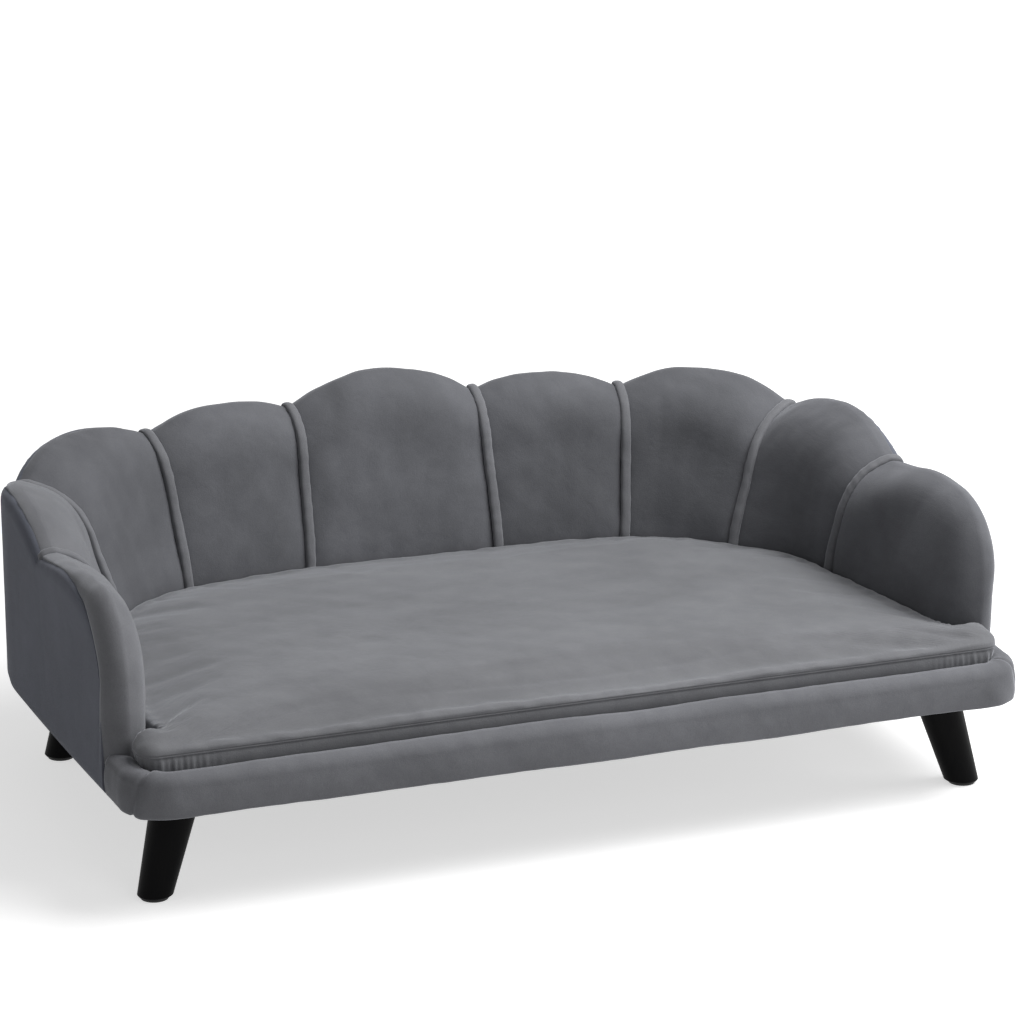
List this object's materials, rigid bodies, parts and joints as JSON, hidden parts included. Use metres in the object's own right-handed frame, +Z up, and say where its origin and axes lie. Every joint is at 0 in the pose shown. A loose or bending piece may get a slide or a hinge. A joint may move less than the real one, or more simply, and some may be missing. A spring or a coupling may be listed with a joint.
{
  "type": "dog sofa bed",
  "caption": "Low upholstered sofa bed for a dog: a channelled padded wall round three sides of a deck with a lift-out seat cushion, on short splayed legs.",
  "frame": {"origin": "on the floor, under the middle of the bed's footprint", "axes": "+Z up, -Y towards the open front, +X towards the right arm seen from the front"},
  "size_m": [1.0004, 0.68, 0.3581],
  "materials": {
    "grey_velvet": "short pile velvet",
    "cushion_velvet": "short pile velvet",
    "piping_velvet": "short pile velvet",
    "foam": "open-cell foam and fibre wadding",
    "nonwoven": "thin black non-woven cloth",
    "glide_plastic": "matt",
    "black_wood": "satin black lacquer",
    "steel": "zinc plated",
    "zip_metal": "die cast",
    "zip_plastic": "woven tape and nylon coil",
    "plywood": "raw birch plywood",
    "pine": "raw sawn softwood"
  },
  "bodies": {
    "bed": {"channel_cover_1": "grey_velvet", "channel_cover_2": "grey_velvet", "channel_cover_3": "grey_velvet", "channel_cover_4": "grey_velvet", "channel_cover_5": "grey_velvet", "channel_cover_6": "grey_velvet", "channel_cover_7": "grey_velvet", "channel_cover_8": "grey_velvet", "channel_cover_9": "grey_velvet", "channel_foam_1": "foam", "channel_foam_2": "foam", "channel_foam_3": "foam", "channel_foam_4": "foam", "channel_foam_5": "foam", "channel_foam_6": "foam", "channel_foam_7": "foam", "channel_foam_8": "foam", "channel_foam_9": "foam", "corner_blocks": "pine", "deck_cover": "grey_velvet", "deck_panel": "plywood", "deck_screws": "steel", "dust_cover": "nonwoven", "front_edge_cover": "grey_velvet", "front_edge_foam": "foam", "front_left_glide": "glide_plastic", "front_left_leg": "black_wood", "front_rail": "pine", "front_right_glide": "glide_plastic", "front_right_leg": "black_wood", "left_cross_rail": "pine", "left_side_rail": "pine", "leg_bolts": "steel", "leg_plate_screws": "steel", "leg_plates": "steel", "outer_cover": "grey_velvet", "outer_wadding": "foam", "piping_1": "piping_velvet", "piping_2": "piping_velvet", "piping_3": "piping_velvet", "piping_4": "piping_velvet", "piping_5": "piping_velvet", "piping_6": "piping_velvet", "piping_7": "piping_velvet", "piping_8": "piping_velvet", "rear_left_glide": "glide_plastic", "rear_left_leg": "black_wood", "rear_rail": "pine", "rear_right_glide": "glide_plastic", "rear_right_leg": "black_wood", "right_cross_rail": "pine", "right_side_rail": "pine", "shell_base_plate": "pine", "shell_board": "plywood", "shell_bolts": "steel", "shell_inserts": "steel"},
    "cushion": {"cushion_cover": "cushion_velvet", "cushion_foam": "foam", "zip_tape": "zip_plastic"},
    "zip": {"zip_slider": "zip_metal"}
  },
  "joints": [
    {"name": "cushion_lift", "type": "slide", "parent": "bed", "child": "cushion", "axis": [0, 0, 1], "range_m": [0, 0.24]},
    {"name": "zip_slide", "type": "slide", "parent": "cushion", "child": "zip", "axis": [-1, 0, 0], "range_m": [0, 0.46]}
  ]
}
